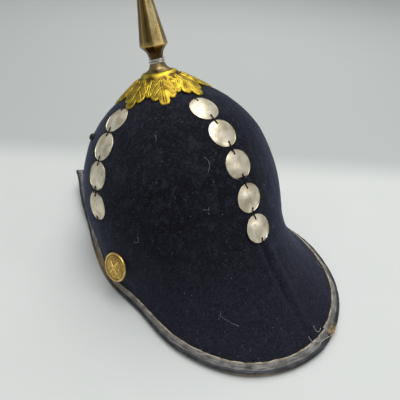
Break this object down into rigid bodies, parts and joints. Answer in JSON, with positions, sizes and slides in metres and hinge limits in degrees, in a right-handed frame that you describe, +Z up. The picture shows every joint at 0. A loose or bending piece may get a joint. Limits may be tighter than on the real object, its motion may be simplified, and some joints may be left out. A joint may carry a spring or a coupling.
{
  "type": "pickelhaube",
  "caption": "Spiked dress helmet: tall cloth-covered dome, long neck guard, square visor, leather-bound edge, gilt leaf base, brass spike, side buttons and strings of sewn domed discs.",
  "frame": {"origin": "middle of the underside, on the surface that the bound edge rests on", "axes": "+Z up from the resting surface, -Y towards the visor, +Y towards the neck guard, +X towards the wearer's left"},
  "size_m": [0.1972, 0.3146, 0.2406],
  "materials": {
    "cloth": "dark navy wool cloth with a short nap and lint",
    "leather": "worn dark leather, raw tan at its edges",
    "gilt": "bright gilt with darker hollows",
    "button_gilt": "rubbed satin gilt",
    "aged_brass": "brown aged brass, brighter on its edges",
    "white_metal": "bright white metal",
    "silvered_disc": "tarnished silvered sheet, pearly",
    "blackened": "blackened, dull"
  },
  "bodies": {
    "root": {"shell": "cloth", "edge_binding": "leather", "oak_leaf_base": "gilt", "spike_collar": "aged_brass", "thread_ring": "white_metal", "spike": "aged_brass", "disc_rear_1": "silvered_disc", "disc_rear_2": "silvered_disc", "disc_rear_3": "silvered_disc", "disc_rear_4": "silvered_disc", "disc_rear_5": "silvered_disc", "disc_left_1": "silvered_disc", "disc_left_2": "silvered_disc", "disc_left_3": "silvered_disc", "disc_left_4": "silvered_disc", "disc_right_1": "silvered_disc", "disc_right_2": "silvered_disc", "disc_right_3": "silvered_disc", "disc_right_4": "silvered_disc", "side_button_left": "button_gilt", "side_stud_left": "blackened", "side_button_right": "button_gilt", "side_stud_right": "blackened"}
  },
  "joints": []
}
